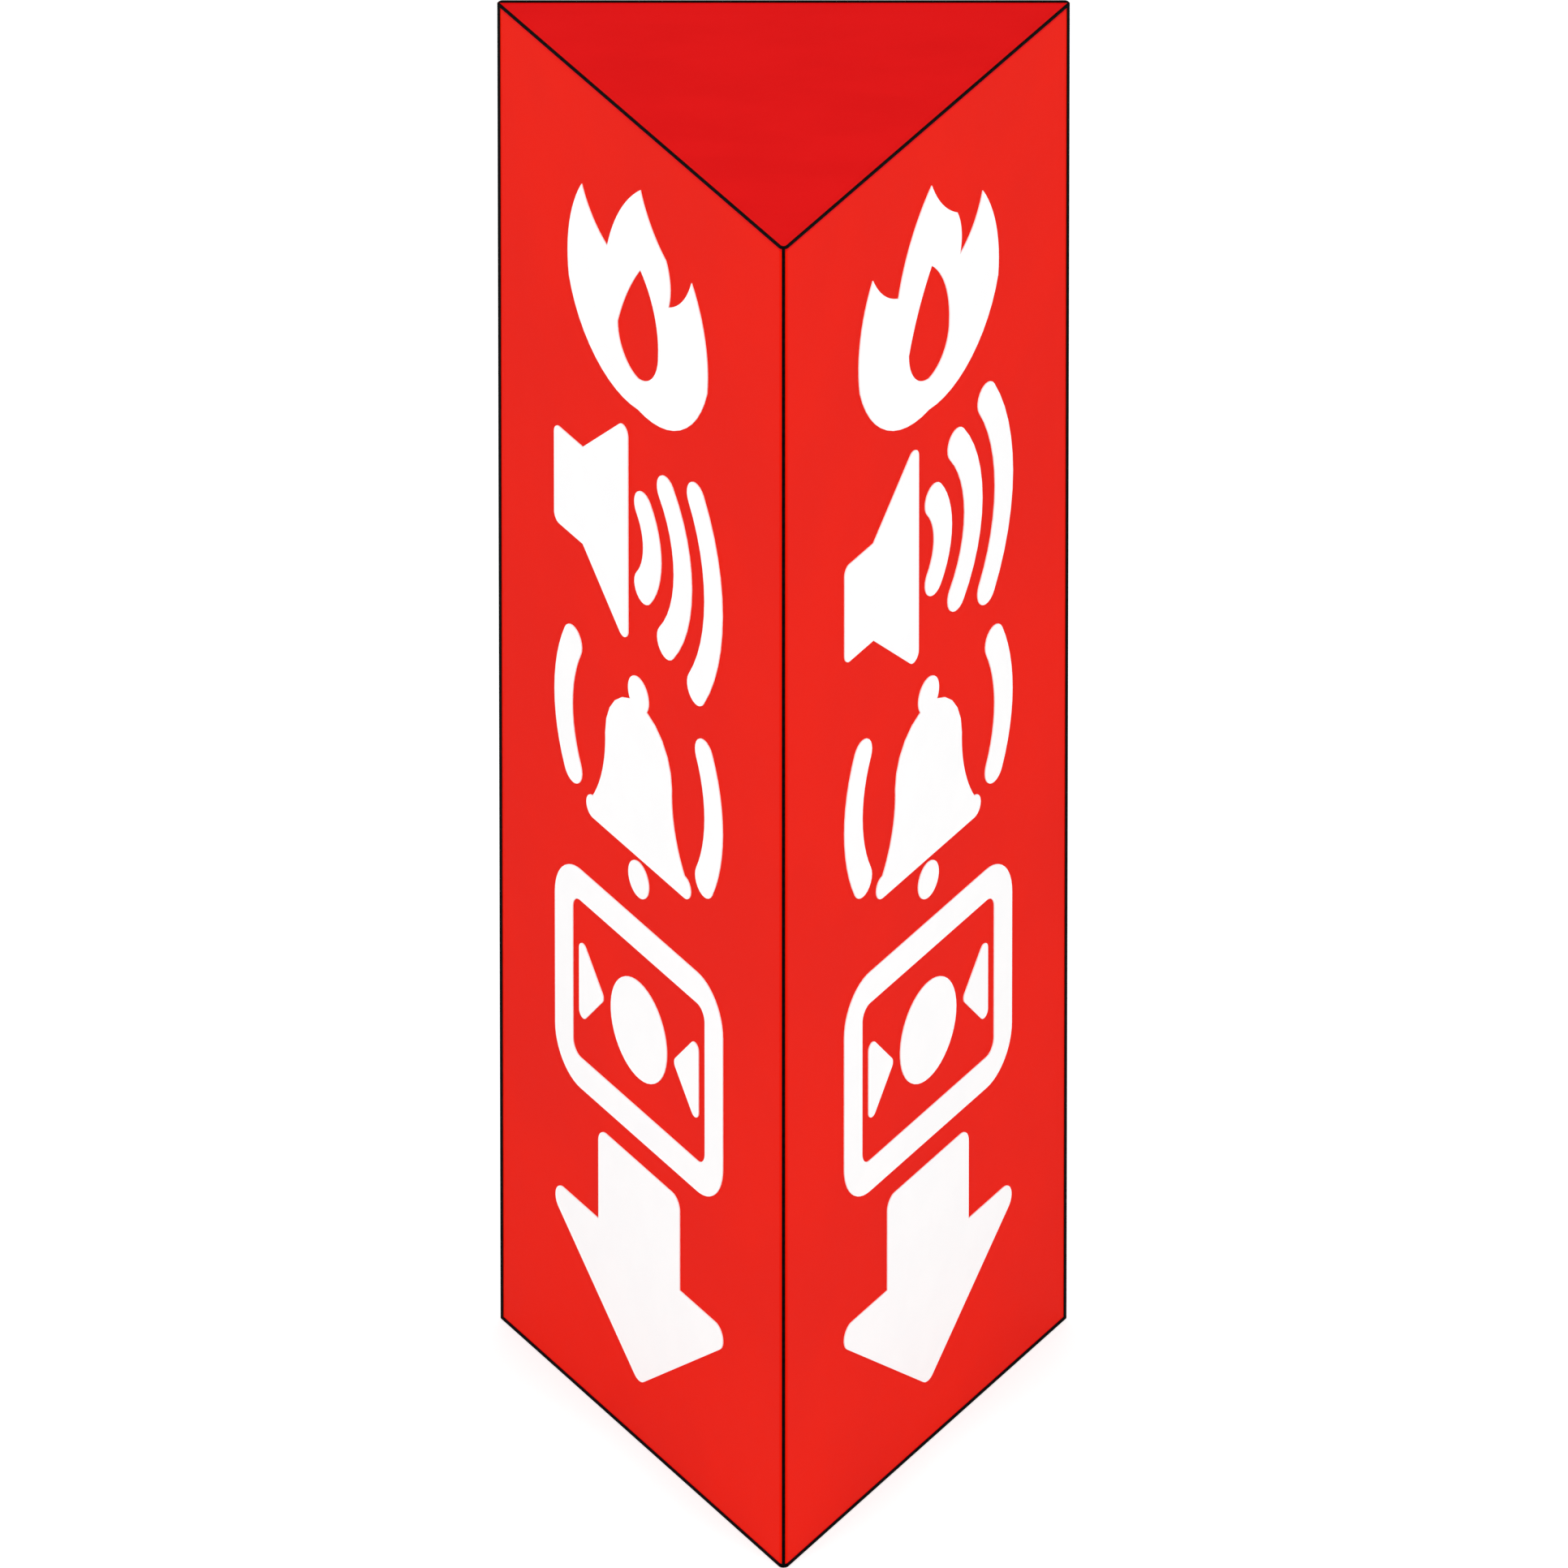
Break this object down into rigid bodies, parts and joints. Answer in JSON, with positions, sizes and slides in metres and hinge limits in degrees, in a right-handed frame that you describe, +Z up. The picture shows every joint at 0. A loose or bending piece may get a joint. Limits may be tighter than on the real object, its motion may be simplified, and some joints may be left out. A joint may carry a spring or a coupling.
{
  "type": "three-sided fire alarm sign",
  "caption": "Tall three-sided wall sign with two red faces that meet at a ridge, closed end caps, white fire alarm pictograms and a hook-on wall plate.",
  "frame": {"origin": "centre of the wall plate's back face, in the middle of its four screw holes", "axes": "+Z up, +Y into the wall, so the ridge points along -Y"},
  "size_m": [0.1122, 0.0971, 0.3001],
  "materials": {
    "red_enamel": "satin baked enamel",
    "red_moulding": "satin moulded plastic",
    "zinc_plate": "zinc plated",
    "white_film": "white film",
    "black_line": "black film"
  },
  "bodies": {
    "root": {"sign_shell": "red_enamel", "top_cap": "red_moulding", "bottom_cap": "red_moulding", "wall_plate": "zinc_plate", "hanger_strap": "zinc_plate", "rivets": "zinc_plate", "lock_screw": "zinc_plate", "left_symbols": "white_film", "right_symbols": "white_film", "edge_lines": "black_line"}
  },
  "joints": []
}
